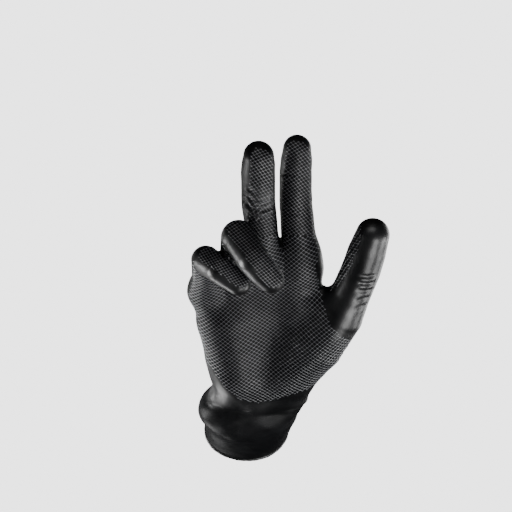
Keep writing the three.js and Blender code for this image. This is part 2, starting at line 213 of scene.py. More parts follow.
class Limb:
    """A finger, the thumb or a pad: half bones with a radius at each end."""

    def __init__(self, row):
        (length, width), root, bones, widths, flow = row
        self.reach = flow * width
        joint = np.array(root) * (PALM_WIDTH, PALM_DEPTH, PALM_LENGTH)
        palm_side = np.array((0.0, -1.0, 0.0))
        before = None
        self.halves = []
        passed = 0.0
        for i, (share, clock, toward) in enumerate(bones):
            along = direction(clock, toward)
            if before is not None:
                palm_side = turned(palm_side, before, along)
            palm_side = palm_side - along * (palm_side @ along)
            palm_side /= np.linalg.norm(palm_side)
            half = share * length / 2
            for second in (0, 1):
                radii = [widths[2 * i + second + end] * width / 2 for end in (0, 1)]
                self.halves.append((joint, along, half, *radii, palm_side, passed))
                joint = joint + along * half
                passed += half
            before = along
        self.length = passed
        self.joints = np.cumsum([share * length for share, _, _ in bones])

    def distance(self, points):
        """The distance from points to this limb's surface."""
        nearest = np.full(len(points), np.inf)
        for start, along, half, start_radius, end_radius, _, _ in self.halves:
            off = points - start
            reach = np.clip(off @ along, 0, half)
            square = np.einsum("ij,ij->i", off, off) - 2 * reach * (off @ along) + reach * reach
            away = np.sqrt(np.maximum(square, 0))
            radius = start_radius + (end_radius - start_radius) * reach / half
            nearest = np.minimum(nearest, away - radius)
        return nearest

    def places(self, points):
        """How far along the limb points lie, and their angle round it from its palm side."""
        nearest = np.full(len(points), np.inf)
        along_limb = np.zeros(len(points))
        angle = np.zeros(len(points))
        for start, along, half, start_radius, end_radius, palm_side, passed in self.halves:
            off = points - start
            raw = off @ along
            reach = np.clip(raw, 0, half)
            out = off - reach[:, None] * along
            away = np.linalg.norm(out, axis=1)
            gap = away - (start_radius + (end_radius - start_radius) * reach / half)
            closer = gap < nearest
            nearest[closer] = gap[closer]
            along_limb[closer] = (passed + np.where(raw > half, raw, reach))[closer]
            side = np.cross(along, palm_side)
            angle[closer] = np.arctan2(out @ side, out @ palm_side)[closer]
        return along_limb, angle, nearest


def turned(vector, before, after):
    """A vector carried along by the turn from one direction to the next."""
    axis = np.cross(before, after)
    sine = np.linalg.norm(axis)
    if sine < 1e-6:
        return vector
    axis /= sine
    cosine = before @ after
    return vector * cosine + np.cross(axis, vector) * sine + axis * (axis @ vector) * (1 - cosine)


LIMBS = {name: Limb(row) for name, row in {**PADS, **FINGERS}.items()}


def by_body(points):
    """Where points lie by the body's path: place along it, reach, and offsets across and back."""
    turn_radius = CUFF_DEPTH
    turn_reach = turn_radius * math.tan(WRIST_BEND / 2)
    y, z = points[:, 1], points[:, 2]
    angle = np.arctan2(turn_reach - z, turn_radius - y)
    sine, cosine = math.sin(WRIST_BEND), math.cos(WRIST_BEND)
    straight = (angle < 0, angle > WRIST_BEND)
    bent = turn_reach * (1 - 2 * angle / WRIST_BEND)
    reach = np.select(straight, (z, z * cosine - y * sine), bent)
    bent = turn_radius - np.hypot(y - turn_radius, z - turn_reach)
    depthwise = np.select(straight, (y, y * cosine + z * sine), bent)
    at = 1 + reach / np.where(reach > 0, PALM_LENGTH, CUFF_LENGTH)
    drift = np.where(at < 1, CUFF_DRIFT * (1 - at) ** 2, 0)
    return at, reach, points[:, 0] + drift, depthwise


def section_at(at):
    """The body's half sizes and exponent at places along it."""
    upper = np.searchsorted(BODY_ROWS[1:-1, 0], at) + 1
    share = smooth(at, BODY_ROWS[upper - 1, 0], BODY_ROWS[upper, 0])[:, None]
    return BODY_ROWS[upper - 1, 1:] * (1 - share) + BODY_ROWS[upper, 1:] * share


def fold_height(at, angle):
    """How far the broad folds lift the body's surface."""
    degrees = np.degrees(angle)
    total = np.zeros(len(at))
    for place, around, height, reach, wide in FOLDS:
        turn = (np.mod(degrees - around + 180, 360) - 180) / wide
        total += height * CUFF_DEPTH * np.exp(-turn * turn - ((at - place) / reach) ** 2)
    return total


# How far past the mouth the surface is made before it is cut off, in millimetres
MOUTH_OVERRUN = 9


def to_body(points):
    """The distance to the surface of cuff and palm, closed a little past the mouth."""
    at, reach, across, depthwise = by_body(points)
    left, right, front, back, square = section_at(at).T
    wide = np.where(across > 0, right, left)
    deep = np.where(depthwise > 0, back, front)
    x, y = np.abs(across) / wide, np.abs(depthwise) / deep
    ring = np.maximum((x**square + y**square) ** (1 / square), 1e-6)
    slope = np.hypot((x / ring) ** (square - 1) / wide, (y / ring) ** (square - 1) / deep)
    side = (ring - 1) / slope - fold_height(at, np.arctan2(depthwise, across))
    end = reach - (1 + KNUCKLE_RISE) * PALM_LENGTH - KNUCKLE_SLANT * points[:, 0]
    capped = -blend(-side, -end, KNUCKLE_ROUND * PALM_DEPTH)
    return np.maximum(capped, -(reach + CUFF_LENGTH + MOUTH_OVERRUN))


def to_palm(points):
    """The distance to cuff, palm and thumb, without the four fingers."""
    palm = to_body(points)
    for name in PADS:
        palm = blend(palm, LIMBS[name].distance(points), LIMBS[name].reach)
    return palm


def to_glove(points):
    """The distance to the whole glove's outer surface."""
    palm = to_palm(points)
    fingers = [LIMBS[name].distance(points) for name in FINGERS]
    grown = [blend(palm, gap, LIMBS[name].reach) for name, gap in zip(FINGERS, fingers)]
    touching = [blend(a, b, CREASE_FILL * FINGER_WIDTH) for a, b in zip(fingers, fingers[1:])]
    return np.minimum.reduce(grown + touching)


def in_parts(field, points, size=200000):
    """A field's values at many points, a part of them at a time."""
    return np.concatenate([field(points[i : i + size]) for i in range(0, len(points), size)])


def slope_of(field, points, probe=0.05):
    """A field's slope at points."""
    steps = np.eye(3) * probe
    return np.stack([(field(points + step) - field(points - step)) / (2 * probe) for step in steps], 1)


# A grid cell's corners, and the pairs of them that one of its edges joins
CORNERS = np.array(
    ((0, 0, 0), (1, 0, 0), (1, 1, 0), (0, 1, 0), (0, 0, 1), (1, 0, 1), (1, 1, 1), (0, 1, 1))
)
EDGES = ((0, 1), (1, 2), (2, 3), (3, 0), (4, 5), (5, 6), (6, 7), (7, 4), (0, 4), (1, 5), (2, 6), (3, 7))


def surface_net(field, depth, cell):
    """Points and four-sided faces of the surface that lies at a depth below a field's own."""
    ends = [MOUTH_CENTRE - MOUTH_AXIS * MOUTH_OVERRUN, np.zeros(3)]
    for limb in LIMBS.values():
        for start, along, half, *_ in limb.halves:
            ends += [start, start + along * half]
    margin = CUFF_DEPTH / 2 + 4 * cell
    low, high = np.min(ends, 0) - margin, np.max(ends, 0) + margin
    counts = np.ceil((high - low) / cell).astype(int) + 1
    grid = np.stack(np.meshgrid(*[np.arange(n) for n in counts], indexing="ij"), -1)
    values = in_parts(field, low + grid.reshape(-1, 3) * cell).reshape(counts) + depth
    inside = values < 0
    held = sum(
        inside[x : counts[0] - 1 + x, y : counts[1] - 1 + y, z : counts[2] - 1 + z].astype(int)
        for x, y, z in CORNERS
    )
    crossed = (held > 0) & (held < 8)
    cells = np.argwhere(crossed)
    total = np.zeros((len(cells), 3))
    count = np.zeros(len(cells))
    for a, b in EDGES:
        near, far = cells + CORNERS[a], cells + CORNERS[b]
        near_value, far_value = values[tuple(near.T)], values[tuple(far.T)]
        met = (near_value < 0) != (far_value < 0)
        gap = np.where(met, near_value - far_value, 1)
        share = np.where(met, near_value / gap, 0)[:, None]
        total += np.where(met[:, None], near + (far - near) * share, 0)
        count += met
    points = low + total / count[:, None] * cell
    number = np.full(crossed.shape, -1)
    number[crossed] = np.arange(len(cells))
    faces = []
    for axis in range(3):
        places = np.argwhere(np.diff(inside, axis=axis))
        keeps = inside[tuple(places.T)]
        across, up = np.roll(np.eye(3, dtype=int), axis, 1)[1:]
        around = (places - across - up, places - up, places, places - across)
        quad = np.stack([number[tuple(at.T)] for at in around], 1)
        faces.append(np.where(keeps[:, None], quad, quad[:, ::-1]))
    return settled(field, points, np.concatenate(faces), depth)


def face_sides(faces):
    """The two ends of each side of four-sided faces."""
    return np.concatenate([faces[:, [i, (i + 1) % 4]] for i in range(4)])


def drawn_together(values, ends):
    """One value for each point, drawn halfway toward the mean of the points it is joined to."""
    total = np.bincount(ends[:, 0], values[ends[:, 1]], len(values))
    total += np.bincount(ends[:, 1], values[ends[:, 0]], len(values))
    return (values + total / np.bincount(ends.ravel(), minlength=len(values))) / 2


# The least slope that a step toward the surface reckons with
LEAST_SLOPE = 0.5


def settled(field, points, faces, depth, rounds=4):
    """Evens out a mesh's points and lays them on the surface at a depth."""
    ends = face_sides(faces)
    for _ in range(rounds):
        points = np.stack([drawn_together(points[:, k], ends) for k in range(3)], 1)
        slope = slope_of(field, points)
        square = np.maximum(np.einsum("ij,ij->i", slope, slope), LEAST_SLOPE**2)
        points = points - slope * ((field(points) + depth) / square)[:, None]
    return points, faces


def cut_at_mouth(points, faces):
    """Takes away what lies past the cuff's mouth and lays the edge in the mouth's plane."""
    past = (points - MOUTH_CENTRE) @ MOUTH_AXIS
    faces = faces[np.any(past[faces] > 0, 1)]
    points = points + np.maximum(-past, 0)[:, None] * MOUTH_AXIS
    used, flat = np.unique(faces, return_inverse=True)
    return points[used], flat.reshape(faces.shape)


def line_distance(places, line):
    """The distance from places in the front view to a line, and how near a place is to its ends."""
    line = np.array(line, float)
    lengths = np.linalg.norm(np.diff(line, axis=0), axis=1)
    starts = np.concatenate(([0], np.cumsum(lengths)))
    nearest = np.full(len(places), np.inf)
    share = np.zeros(len(places))
    for (a, b), length, start in zip(zip(line, line[1:]), lengths, starts):
        along = (b - a) / length
        off = places - a
        reach = np.clip(off @ along, 0, length)
        away = np.linalg.norm(off - reach[:, None] * along, axis=1)
        closer = away < nearest
        nearest[closer] = away[closer]
        share[closer] = ((start + reach) / starts[-1])[closer]
    return nearest, share


# The lips beside a crease: their height as a share of its depth, and their place in half widths
LIP_HEIGHT = 0.4
LIP_PLACE = 1.9


def crease(gap):
    """A crease's section, 1 at its middle, with low lips beside it."""
    return np.exp(-gap * gap) - LIP_HEIGHT * np.exp(-((gap - LIP_PLACE) ** 2))


def ripple(points, size, seed):
    """A soft random field over space, from -1 to 1, whose bumps are about one size across."""
    random = np.random.default_rng(seed)
    total = np.zeros(len(points))
    for _ in range(10):
        way = random.normal(size=3)
        way *= 2 * math.pi / (2 * size) / np.linalg.norm(way) * random.uniform(0.6, 1.4)
        total += np.sin(points @ way + random.uniform(0, 2 * math.pi))
    return total / 4.5


# Soft ripples all over the film: height and size in millimetres, and seed
RIPPLES = ((0.12, 9, 3), (0.05, 3.6, 4))

# Wrinkles at each limb's joints: offset along the limb in millimetres, angle round it from its
# palm side in degrees, depth, half width, and reach round it in degrees.
JOINT_WRINKLES = {
    ("forefinger", 0): (
        (-2.4, 0, 0.28, 1.0, 60), (1.2, 0, 0.35, 1.1, 70), (0.4, 180, 0.3, 1.1, 55),
        (-3.0, 180, 0.28, 1.1, 50), (3.9, 180, 0.25, 1.1, 46),
    ),
    ("forefinger", 1): ((0.5, 0, 0.25, 1.0, 60), (0.2, 180, 0.2, 1.0, 46)),
    ("middle_finger", 0): (
        (0.6, 180, 0.3, 1.1, 55), (-2.8, 180, 0.28, 1.1, 50), (4.0, 180, 0.25, 1.1, 46),
    ),
    ("middle_finger", 1): ((0.4, 0, 0.22, 1.0, 60), (0.0, 180, 0.2, 1.0, 46)),
    ("ring_finger", 0): ((-3.4, 0, 0.16, 1.6, 70), (3.2, 0, 0.2, 1.6, 70)),
    ("ring_finger", 1): ((-2.2, 0, 0.2, 1.5, 60), (1.6, 0, 0.16, 1.5, 60)),
    ("little_finger", 0): ((-3.0, 0, 0.16, 1.6, 70), (2.8, 0, 0.2, 1.6, 70)),
    ("little_finger", 1): ((-1.8, 0, 0.16, 1.5, 60), (1.6, 0, 0.16, 1.5, 60)),
    ("thumb", 1): (
        (0.0, 180, 0.3, 1.2, 50), (3.4, 180, 0.25, 1.2, 46), (-3.2, 180, 0.25, 1.2, 46),
    ),
}

# Folds of the cuff and the wrist: place along the body, angle round it, slant in degrees from
# straight round, height in millimetres, half width and half length in millimetres.
CUFF_FOLDS = (
    (0.96, 200, 14, -0.8, 2.0, 12),
    (0.8, 196, 6, 0.3, 4.0, 12),
    (0.6, 206, -12, -0.35, 3.4, 13),
    (0.86, 228, 34, 0.3, 2.8, 8),
    (0.76, 238, 44, -0.35, 2.4, 9),
    (0.66, 248, 28, 0.25, 2.8, 9),
    (0.7, 264, 50, -0.25, 2.6, 9),
    (0.84, 284, -30, 0.25, 2.6, 9),
    (0.72, 298, -44, -0.3, 2.4, 9),
    (0.98, 340, -14, -0.9, 1.6, 9),
    (0.86, 344, -10, 0.6, 2.0, 9),
    (0.78, 338, 10, -0.6, 1.9, 9),
    (0.9, 70, 6, -1.0, 2.0, 16),
    (0.78, 84, -5, 0.8, 2.4, 15),
    (0.68, 104, 8, -0.9, 2.0, 15),
    (0.96, 118, -12, -0.8, 1.8, 12),
    (0.55, 76, -8, 0.6, 2.6, 16),
    (0.45, 110, 6, -0.5, 2.2, 16),
    (1.08, 60, 16, -0.6, 2.0, 12),
    (1.1, 122, -18, -0.6, 2.0, 12),
    (0.3, 20, 60, -0.4, 2.2, 11),
    (0.25, 150, -62, -0.4, 2.2, 11),
)


# Over how many millimetres from the mouth the folds grow to their full height, and how far from
# its limb a joint's wrinkle still shows
MOUTH_CALM = (1.0, 8.0)
WRINKLE_REACH = 3


def lift(points, normals):
    """How far wrinkles and folds lift the film's surface, in millimetres."""
    total = sum(height * ripple(points, size, seed) for height, size, seed in RIPPLES)
    facing = smooth(-(normals @ LEAN.T)[:, 1], 0.0, 0.35)
    places = front_view(points)
    for line, height, width in FRONT_LINES:
        gap, share = line_distance(places, line)
        ends = smooth(share, -0.05, 0.25) * (1 - smooth(share, 0.75, 1.05))
        total += height * crease(gap / width) * ends * facing * (gap < 6 * width)
    for (name, joint), wrinkles in JOINT_WRINKLES.items():
        limb = LIMBS[name]
        along, angle, gap = limb.places(points)
        close = np.abs(gap) < WRINKLE_REACH
        for offset, around, depth, width, reach in wrinkles:
            turn = (np.mod(np.degrees(angle) - around + 180, 360) - 180) / reach
            wave = 0.5 * np.sin(3 * angle + 2 * offset)
            near = (along - limb.joints[joint] - offset - wave) / width
            total -= depth * crease(np.abs(near)) * np.exp(-turn * turn) * close
    at, _, across, depthwise = by_body(points)
    angle = np.degrees(np.arctan2(depthwise, across))
    girth = np.hypot(across, depthwise)
    length = np.where(at > 1, PALM_LENGTH, CUFF_LENGTH)
    for place, around, slant, height, width, reach in CUFF_FOLDS:
        along = (at - place) * length
        turn = np.radians(np.mod(angle - around + 180, 360) - 180) * girth
        cosine, sine = math.cos(math.radians(slant)), math.sin(math.radians(slant))
        across_fold = (along * cosine - turn * sine) / width
        along_fold = (along * sine + turn * cosine) / reach
        total += height * np.exp(-(across_fold**2) - along_fold**2)
    return total * smooth((points - MOUTH_CENTRE) @ MOUTH_AXIS, *MOUTH_CALM)


# Each part of the grip net: whose surface it lies on, from which side it is laid, the turn of its
# rows from level in the front view in degrees, its cells' width and height in millimetres, how
# squarely the surface must face that side, and its edge in the front view.
NETS = {
    "palm": (
        "palm", "front", 4, (3.1, 2.6), 0.32,
        (
            (186, 262), (186, 290), (191, 300), (199, 335), (207, 362), (214.6, 373.7), (225.8, 390),
            (240, 400), (256.4, 403), (272.8, 401), (287, 396), (307.5, 390), (331, 373), (354, 342),
            (340, 335), (331, 325), (325, 308), (321, 290), (316, 268), (322, 246), (318, 236), (281, 236),
            (250, 238), (214, 246),
        ),
    ),
    "forefinger": (
        "forefinger", "front", -10, (2.8, 2.2), 0.35,
        ((286, 146), (290, 141), (302, 141), (311, 150), (316, 190), (321, 236), (281, 236), (283, 180)),
    ),
    "middle_finger": (
        "middle_finger", "front", -14, (2.8, 2.1), 0.35,
        ((250, 154), (256, 148), (267, 149), (274, 158), (279, 238), (250, 238), (249, 190)),
    ),
    "thumb": (
        "thumb", "front", 20, (2.8, 2.2), 0.2,
        ((334, 262), (344, 238), (356, 222), (362, 226), (360, 244), (352, 266), (342, 284), (328, 292)),
    ),
    "ring_finger": (
        "ring_finger", "front", -8, (2.7, 2.15), 0.25,
        (
            (226, 226), (233, 219), (246, 219), (260, 232), (288, 276), (285, 284), (274, 290), (265, 286),
            (244, 256), (229, 238),
        ),
    ),
    "little_finger": (
        "little_finger", "front", -16, (2.5, 1.95), 0.25,
        (
            (199, 250), (208, 246), (220, 251), (246, 274), (250, 282), (243, 289), (236, 287), (214, 270),
            (199, 261),
        ),
    ),
    "back_of_hand": (
        "palm", "back", 0, (3.1, 2.5), 0.35,
        ((199, 268), (214, 240), (262, 222), (318, 222), (332, 262), (318, 330), (296, 366), (222, 366)),
    ),
    "back_of_forefinger": (
        "forefinger", "back", 0, (2.8, 2.2), 0.45,
        ((284, 150), (290, 143), (304, 143), (311, 152), (320, 224), (281, 224)),
    ),
    "back_of_middle_finger": (
        "middle_finger", "back", 0, (2.8, 1.9), 0.45,
        ((243, 156), (250, 149), (266, 149), (272, 158), (280, 226), (246, 226)),
    ),
}


def inside_edge(places, edge):
    """Which places lie inside a closed edge."""
    edge = np.array(edge, float)
    held = np.zeros(len(places), bool)
    for (ax, ay), (bx, by) in zip(edge, np.roll(edge, -1, 0)):
        spans = (ay > places[:, 1]) != (by > places[:, 1])
        rise = by - ay if by != ay else 1e-9
        held ^= spans & (places[:, 0] < (bx - ax) * (places[:, 1] - ay) / rise + ax)
    return held


def net_plane(name):
    """A net's two directions and the way into the surface, in the palm's frame."""
    carrier, side, turn, _, _, _ = NETS[name]
    turn = math.radians(turn)
    frame_turn = np.eye(3) if carrier == "palm" else LEAN
    rows = np.array((math.cos(turn), 0, math.sin(turn))) @ frame_turn
    up = np.array((-math.sin(turn), 0, math.cos(turn))) @ frame_turn
    inward = np.array((0.0, 1.0 if side == "front" else -1.0, 0.0)) @ frame_turn
    return rows, up, inward


def rooted(name):
    """The distance to one finger with the palm that it grows from."""
    limb = LIMBS[name]
    return lambda points: blend(to_palm(points), limb.distance(points), limb.reach)


def first_bone(row):
    """A finger's row with its first bone alone."""
    size, root, bones, widths, flow = row
    return size, root, bones[:1], widths[:3], flow


# The fingers as the palm's net meets them: two whole ones, and the first bones of the curled two.
OPEN_LIMBS = [
    LIMBS["forefinger"],
    LIMBS["middle_finger"],
    Limb(first_bone(FINGERS["ring_finger"])),
    Limb(first_bone(FINGERS["little_finger"])),
]


def to_open_palm(points):
    """The distance to the palm and to what rises from it under the curled fingers."""
    palm = to_palm(points)
    return np.minimum.reduce([blend(palm, limb.distance(points), limb.reach) for limb in OPEN_LIMBS])


CARRIERS = {"palm": to_open_palm, "thumb": to_palm}


def carrier_of(name):
    """The distance to the surface that a net lies on."""
    carrier = NETS[name][0]
    return CARRIERS.get(carrier) or rooted(carrier)


# How a net's places are laid: from how far before the glove, in how many steps, and how near the
# glove's surface they must come to rest, in millimetres
LAY_FROM = -130
LAY_STEPS = 26
LAY_NEAR = 0.12


def laid_on_surface(name, flat):
    """Lays places of a net's plane on the glove: points, normals and which of them are shown."""
    squarely, edge = NETS[name][4:]
    rows, up, inward = net_plane(name)
    field = carrier_of(name)
    points = flat[:, :1] * rows + flat[:, 1:] * up
    points = points + inward * (LAY_FROM - points @ inward)[:, None]
    for _ in range(LAY_STEPS):
        points = points + inward * np.clip(field(points) * 0.9, -6, 30)[:, None]
    on = np.abs(to_glove(points)) < LAY_NEAR
    normals = np.zeros_like(points)
    normals[on] = slope_of(to_glove, points[on])
    normals[on] /= np.maximum(np.linalg.norm(normals[on], axis=1), 1e-6)[:, None]
    shown = on & (-(normals @ inward) > squarely) & inside_edge(front_view(points), edge)
    return points, normals, shown


# The palm's distance from the camera and its place along Y, and how far a net's plane is filled
# past its edge, in millimetres
PALM_AWAY = 960
PALM_Y = -90.0
NET_MARGIN = 14


def plane_reach(name):
    """The middle of a net's edge in its own plane and how far the net reaches from it."""
    rows, up, _ = net_plane(name)
    edge = np.array(NETS[name][5], float)
    away = (PICTURE / 2 / HALF_VIEW) ** -1 * PALM_AWAY
    x = EYE[0] + (edge[:, 0] - PICTURE / 2) * away
    z = EYE[2] - (edge[:, 1] - PICTURE / 2) * away
    points = from_row(np.stack((x, np.full(len(x), PALM_Y), z), 1))
    flat = np.stack((points @ rows, points @ up), 1)
    middle = (flat.min(0) + flat.max(0)) / 2
    return middle, np.linalg.norm(flat.max(0) - flat.min(0)) / 2 + NET_MARGIN


def net_lines(name, step=0.8):
    """The lines of a net's two crossing families, as places in its plane."""
    cell = np.array(NETS[name][3])
    middle, reach = plane_reach(name)
    spacing = cell[0] * cell[1] / math.hypot(*cell)
    lean = math.atan2(cell[1], cell[0])
    for angle in (lean, -lean):
        way = np.array((math.cos(angle), math.sin(angle)))
        side = np.array((-way[1], way[0]))
        first = math.floor((middle @ side - reach) / spacing)
        last = math.ceil((middle @ side + reach) / spacing)
        along = middle @ way + np.arange(-reach, reach, step)
        for k in range(first, last + 1):
            yield along[:, None] * way + side * (k * spacing)


def net_crossings(name):
    """The places in a net's plane where its lines cross."""
    cell = np.array(NETS[name][3])
    middle, reach = plane_reach(name)
    count = int(reach / cell.min()) + 2
    base = np.round(middle / cell)
    steps = np.arange(-count, count + 1)
    grid = np.stack(np.meshgrid(steps, steps, indexing="ij"), -1).reshape(-1, 2)
    whole = (base + grid) * cell
    return np.concatenate((whole, whole + cell / 2))


# How light the raised lines are painted against the dots where they cross, a painted highlight on their
# crowns: on the palm, and on the rest
PALM_RIDGE_SHINE = 0.33
FINGER_RIDGE_SHINE = 0.2

# The film's satin skin: its roughness, and how satin the cuff is, its rubbed patch, which has a
# place along the body and an angle round it, and two fingers. The smooth thumb has 1. The cuff's
# satin gives way to the palm's along WRIST_FADE, and a finger's over FINGER_FADE in millimetres.
SKIN_ROUGHNESS = 0.36
CUFF_SHEEN, PATCH_SHEEN = 0.05, 0.55
PATCH_PLACE, PATCH_REACH = 0.84, 0.18
PATCH_ANGLE, PATCH_TURN = 236, 26
WRIST_FADE = (0.92, 1.08)
FINGER_SHEENS = {"middle_finger": 0.12, "forefinger": 0.5}
FINGER_FADE = (0.5, 5)

# Where the film under the net is rubbed smooth, in the front view: middle, reach and how satin it
# is, at the middle finger's joint folds and over the thumb's heel.
RUBBED = (((256, 204), (21, 15), 0.8), ((346, 330), (14, 13), 0.9))

# The thumb's matt inner side, in the front view: from where to where across it the satin begins,
# at the height THUMB_LEVEL, how far that shifts for each part of height, and how satin the matt
# side is. It ends over THUMB_FADE millimetres from the thumb.
THUMB_SATIN, THUMB_LEVEL, THUMB_SHIFT = (324, 346), 325, 0.36
THUMB_SHEEN = 0.2
THUMB_FADE = (1, 6)

# How near a net's own surface the film under it lies, in millimetres, how far forward the film
# faces there, and how often the satin's edges are softened
UNDER_NET = 0.2
FORWARD = 0.1
SOFTENINGS = 8


def sheen_over(points, faces):
    """How satin the film is at points of its outer side, from 0 under the net to 1."""
    places = front_view(points)
    front = (slope_of(to_glove, points) @ LEAN.T)[:, 1] < -FORWARD
    bare = np.zeros(len(points), bool)
    for name, (_, side, _, _, _, edge) in NETS.items():
        near = inside_edge(places, edge) & (front == (side == "front"))
        near[near] = np.abs(carrier_of(name)(points[near])) < UNDER_NET
        bare |= near
    sheen = np.ones(len(points))
    across_thumb = places[:, 0] + THUMB_SHIFT * (places[:, 1] - THUMB_LEVEL)
    matt = (1 - smooth(across_thumb, *THUMB_SATIN)) * front
    matt *= 1 - smooth(LIMBS["thumb"].distance(points), *THUMB_FADE)
    sheen -= (1 - THUMB_SHEEN) * matt
    for name, share in FINGER_SHEENS.items():
        sheen *= share + (1 - share) * smooth(LIMBS[name].distance(points), *FINGER_FADE)
    at, _, across, depthwise = by_body(points)
    turn = (np.mod(np.degrees(np.arctan2(depthwise, across)), 360) - PATCH_ANGLE) / PATCH_TURN
    patch = np.exp(-turn * turn - ((at - PATCH_PLACE) / PATCH_REACH) ** 2)
    cuff = CUFF_SHEEN + (PATCH_SHEEN - CUFF_SHEEN) * patch
    above = smooth(at, *WRIST_FADE)
    netted = np.zeros(len(points))
    for middle, reach, satin in RUBBED:
        away = np.linalg.norm((places - middle) / reach, axis=1)
        netted = np.maximum(netted, satin * np.exp(-(away**4)) * front)
    sheen = np.where(bare, netted, sheen * above + cuff * (1 - above))
    ends = face_sides(faces)
    for _ in range(SOFTENINGS):
        sheen = drawn_together(sheen, ends)
    return sheen


# How far a raised line's or dot's foot goes into the film, in millimetres, and a line's height at
# its ends as a share of its full one
FOOT_DEPTH = 0.12
LINE_END = 0.15


def ridge_mesh(name, width, height):
    """The raised lines of one net: points, faces and how much painted highlight each point gets, lightest
    on a line's crown.
    """
    shine = PALM_RIDGE_SHINE if NETS[name][0] == "palm" else FINGER_RIDGE_SHINE
    lines = np.array(list(net_lines(name)))
    points, normals, shown = laid_on_surface(name, lines.reshape(-1, 2))
    points[shown] += normals[shown] * lift(points[shown], normals[shown])[:, None]
    by_line = [part.reshape(len(lines), -1, 3) for part in (points, normals)]
    verts, faces, crowns = [], [], []
    count = 0
    for is_shown, places, outward in zip(shown.reshape(len(lines), -1), *by_line):
        for run in runs_of(is_shown, places):
            place, normal = places[run], outward[run]
            way = np.gradient(place, axis=0)
            side = np.cross(way, normal)
            side /= np.maximum(np.linalg.norm(side, axis=1), 1e-9)[:, None]
            taper = np.ones(len(place))
            taper[0] = taper[-1] = LINE_END
            crown = place + normal * (height * taper)[:, None]
            foot = place - normal * FOOT_DEPTH
            rows = np.stack((foot - side * width / 2, crown, foot + side * width / 2), 1)
            verts.append(rows.reshape(-1, 3))
            # Painted highlight: none at a line's feet, the shine share on its crown
            crowns.append(np.tile((0, shine, 0), len(place)))
            base = count + 3 * np.arange(len(place) - 1)
            for k in (0, 1):
                faces.append(np.stack((base + k, base + k + 3, base + k + 4, base + k + 1), 1))
            count += 3 * len(place)
    return np.concatenate(verts), np.concatenate(faces), np.concatenate(crowns)


def runs_of(shown, places, longest=3.0):
    """The unbroken runs of shown places along a line."""
    jumps = np.linalg.norm(np.diff(places, axis=0), axis=1) > longest
    at = np.flatnonzero(shown)
    breaks = (np.diff(at) > 1) | jumps[at[1:] - 1]
    return [run for run in np.split(at, np.flatnonzero(breaks) + 1) if len(run) > 2]


def dot_mesh(name, width, height, sides=8):
    """The raised dots where a net's lines cross: points, faces and how much painted highlight each point
    gets, full on a dot's top.
    """
    points, normals, shown = laid_on_surface(name, net_crossings(name))
    points, normals = points[shown], normals[shown]
    points = points + normals * lift(points, normals)[:, None]
    rows, _, _ = net_plane(name)
    side = np.cross(normals, rows)
    side /= np.linalg.norm(side, axis=1)[:, None]
    across = np.cross(side, normals)
    turns = 2 * math.pi * np.arange(sides) / sides
    ring = (
        points[:, None]
        - normals[:, None] * FOOT_DEPTH
        + across[:, None] * (np.cos(turns) * width / 2)[:, None]
        + side[:, None] * (np.sin(turns) * width / 4)[:, None]
    )
    verts = np.concatenate((ring, (points + normals * height)[:, None]), 1)
    base = (sides + 1) * np.arange(len(points))[:, None]
    k = np.arange(sides)
    faces = np.stack(
        (base + k, base + (k + 1) % sides, np.broadcast_to(base + sides, (len(points), sides))), -1
    )
    # Painted highlight: full on a dot's top, none round its foot
    crowns = np.tile([0] * sides + [1], len(points))
    return verts.reshape(-1, 3), faces.reshape(-1, 3), crowns


# How the bead is uneven: its size, as shares of its width, and its height in millimetres, each as
# (size, waves round it, phase), and how far it lies inside the cuff's edge in millimetres.
BEAD_SWELLS = ((0.07, 5, 1), (0.04, 17, 0), (0.03, 41, 0))
BEAD_RISES = ((0.25, 3, 2), (0.1, 8, 0))
BEAD_INSET = 0.5


def waves(angle, table, start=0):
    """The sum of some waves round the bead, added to a starting value."""
    return sum((size * np.sin(count * angle + phase) for size, count, phase in table), start)


def bead_mesh(width, steps=192, sides=14):
    """The rolled bead round the mouth: points and faces."""
    left, right, front, back, _ = BODY_ROWS[0, 1:]
    angle = 2 * math.pi * np.arange(steps) / steps
    cosine, sine = np.cos(angle), np.sin(angle)
    inset = fold_height(np.zeros(steps), angle) - BEAD_INSET
    wide = np.where(cosine > 0, right, left) + inset
    deep = np.where(sine > 0, back, front) + inset
    outward = np.stack((cosine * deep, sine * wide, np.zeros(steps)), 1)
    outward /= np.linalg.norm(outward, axis=1)[:, None]
    middle = np.stack((cosine * wide, sine * deep, np.zeros(steps)), 1)
    middle[:, 2] = waves(angle, BEAD_RISES)
    around = 2 * math.pi * np.arange(sides) / sides
    radius = (waves(angle, BEAD_SWELLS, 1) * width / 2)[:, None, None]
    up = np.array((0, 0, 1.0))
    ring = middle[:, None] + radius * (
        np.cos(around)[:, None] * outward[:, None] + np.sin(around)[:, None] * up
    )
    points = ring.reshape(-1, 3) @ tilt(WRIST_BEND).T + MOUTH_CENTRE
    k, j = np.meshgrid(np.arange(steps), np.arange(sides), indexing="ij")
    corners = ((k, j), (k + 1, j), (k + 1, j + 1), (k, j + 1))
    faces = np.stack([(a % steps) * sides + b % sides for a, b in corners], -1)
    return points, faces.reshape(-1, 4)


def mesh_object(name, parts, material):
    """One smooth object from several lots of points and faces in the palm's frame."""
    mesh = bpy.data.meshes.new(name)
    points, faces = [], []
    count = 0
    for part_points, part_faces in parts:
        points.append(to_row(part_points) * MM)
        faces.extend((part_faces + count).tolist())
        count += len(part_points)
    mesh.from_pydata(np.concatenate(points).tolist(), [], faces)
    mesh.polygons.foreach_set("use_smooth", np.ones(len(mesh.polygons), bool))
    mesh.materials.append(material)
    mesh.update()
    made = bpy.data.objects.new(name, mesh)
    bpy.context.scene.collection.objects.link(made)
    return made


def mark(made, name, values):
    """Keeps a value for each point of a mesh, for its material."""
    attribute = made.data.attributes.new(name, "FLOAT", "POINT")
    attribute.data.foreach_set("value", np.asarray(values, np.float32))


def set_inputs(node, values):
    """Sets a node's named inputs."""
    for name, value in values.items():
        node.inputs[name].default_value = value


